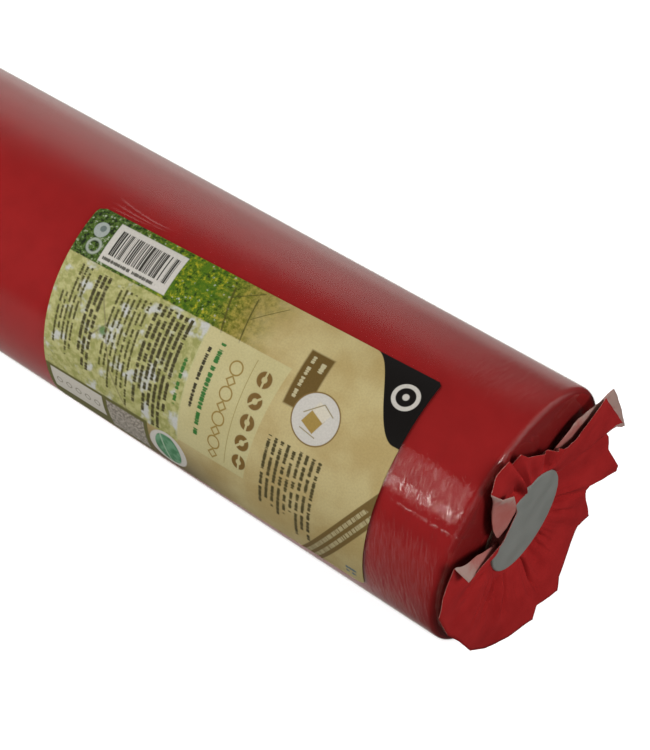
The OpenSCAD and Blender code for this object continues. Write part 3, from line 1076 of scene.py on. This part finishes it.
# ---------------------------------------------------------------- studio
def make_floor():
    size = 4.0
    z = REST_Z - 0.05 * MM
    corners = [(-size, -size, z), (size, -size, z), (size, size, z), (-size, size, z)]
    material, graph = new_material("pale_floor")
    dull = graph.add("BsdfDiffuse")
    dull.inputs["Color"].default_value = (0.62, 0.62, 0.62, 1.0)
    glow = graph.add("Emission")
    glow.inputs["Color"].default_value = (1.0, 1.0, 1.0, 1.0)
    glow.inputs["Strength"].default_value = 0.84
    both = graph.add("AddShader")
    graph.feed(both.inputs[0], dull.outputs[0])
    graph.feed(both.inputs[1], glow.outputs[0])
    graph.surface(both.outputs[0])
    floor = new_piece("floor", corners, [(0, 1, 2, 3)], [material])
    floor.visible_glossy = False
    floor.visible_diffuse = False
    floor.visible_shadow = False


def make_world():
    """Surroundings of the studio: a wide pale glow above the back edge and a pale floor for the film to
    mirror, with dark between them, and a low even light for everything that is dull."""
    world = bpy.data.worlds.new("studio")
    bpy.context.scene.world = world
    world.use_nodes = True
    graph = Graph(world.node_tree)
    x, y, z = graph.split(graph.add("TexCoord").outputs["Generated"])
    sideways = graph.absolute(x)
    glow = graph.times(graph.rise(sideways, 0.285, 0.46, 0.25, 1.27), graph.rise(z, -0.50, 0.30))
    glow = graph.times(glow, graph.rise(z, 0.46, 0.83, 1.0, 0.0))
    glow = graph.times(glow, graph.rise(y, -0.10, 0.25))
    floor_back = graph.times(graph.rise(z, -0.25, 0.12, 0.60, 0.0), graph.rise(y, -0.10, 0.38))
    floor_front = graph.rise(z, -0.28, -0.02, 1.0, 0.0)
    floor_front = graph.times(floor_front, graph.rise(y, -0.15, 0.30, 1.0, 0.0))
    floor_front = graph.times(floor_front, graph.rise(x, -0.52, -0.36, 0.34, 0.70))
    floor_front = graph.times(floor_front, graph.rise(x, -0.345, -0.305, 1.0, 0.08))
    low = graph.plus(floor_back, floor_front)
    low = graph.times(low, graph.rise(x, -0.22, 0.05, 1.0, 0.0))
    side = graph.times(graph.rise(x, 0.20, 0.60, 0.0, 0.45), graph.rise(z, -0.10, 0.20))
    mirrored = graph.plus(0.03, graph.plus(graph.math("MAXIMUM", glow, side), low))
    rays = graph.add("LightPath").outputs
    strength = graph.times(rays["Is Glossy Ray"], mirrored)
    strength = graph.plus(strength, graph.times(rays["Is Diffuse Ray"], 0.195))
    strength = graph.plus(strength, rays["Is Camera Ray"])
    background = graph.add("Background")
    background.inputs["Color"].default_value = (1.0, 1.0, 1.0, 1.0)
    graph.feed(background.inputs["Strength"], strength)
    graph.feed(graph.add("OutputWorld").inputs["Surface"], background.outputs[0])


def soft_light(name, direction, distance, size, power, mirrored=True):
    """A rectangular soft box that faces the roll's near end from direction."""
    light = bpy.data.lights.new(name, "AREA")
    light.shape = "RECTANGLE"
    light.size, light.size_y = size
    light.energy = power
    lamp = bpy.data.objects.new(name, light)
    aim = Vector((HALF / 2, 0, 0))
    way = Vector(direction).normalized()
    lamp.location = aim + way * distance
    lamp.rotation_euler = (-way).to_track_quat("-Z", "Y").to_euler()
    lamp.visible_glossy = mirrored
    lamp.visible_camera = False
    bpy.context.scene.collection.objects.link(lamp)


def make_camera():
    azimuth, elevation, distance = math.radians(38.61), math.radians(47.66), 0.55
    aim = Vector((0.61 * HALF, -0.195 * ROLL_R, 0.553 * ROLL_R))
    back = Vector((math.sin(azimuth) * math.cos(elevation), -math.cos(azimuth) * math.cos(elevation),
                   math.sin(elevation)))
    camera = bpy.data.objects.new("camera", bpy.data.cameras.new("camera"))
    camera.data.lens = 76
    camera.data.sensor_width = 36
    camera.location = aim + back * distance
    camera.rotation_euler = (-back).to_track_quat("-Z", "Y").to_euler()
    camera.data.clip_start = 0.01
    bpy.context.scene.collection.objects.link(camera)
    bpy.context.scene.camera = camera


def make_studio():
    make_floor()
    make_world()
    soft_light("key", (-0.239, -0.743, 0.625), 1.2, (0.36, 0.66), 1.18)
    soft_light("key_edge", (-0.239, -0.829, 0.505), 1.2, (0.14, 0.20), 0.90)
    soft_light("right", (0.85, -0.08, 0.52), 0.62, (0.20, 0.20), 1.80)
    soft_light("front_left", (-0.78, -0.62, 0.06), 0.60, (0.4, 0.4), 2.4, mirrored=False)
    soft_light("top_left", (-0.60, -0.12, 0.80), 0.9, (0.6, 0.6), 4.5, mirrored=False)
    soft_light("back", (-0.10, 0.85, -0.32), 1.2, (1.2, 0.6), 3.0, mirrored=False)
    make_camera()
    settings = bpy.context.scene.view_settings
    settings.view_transform = "Standard"
    settings.look = "None"


make_studio()
make_core()
make_web()
make_tape()
make_film()
make_label()
tissue = [paper_front(), paper_back(), paper_torn_edge()]
make_gathered_sheet("near_gathered_sheet", "near_rosette", "near_sheet", 0, 1.0, False, tissue)
make_gathered_sheet("far_gathered_sheet", "far_rosette", "far_sheet", 140, 4.0, True, tissue)
plastic = plug_material()
make_plug("near_stopper_plug", "near_plug", "near_stopper", False, plastic)
make_plug("far_stopper_plug", "far_plug", "far_stopper", True, plastic)
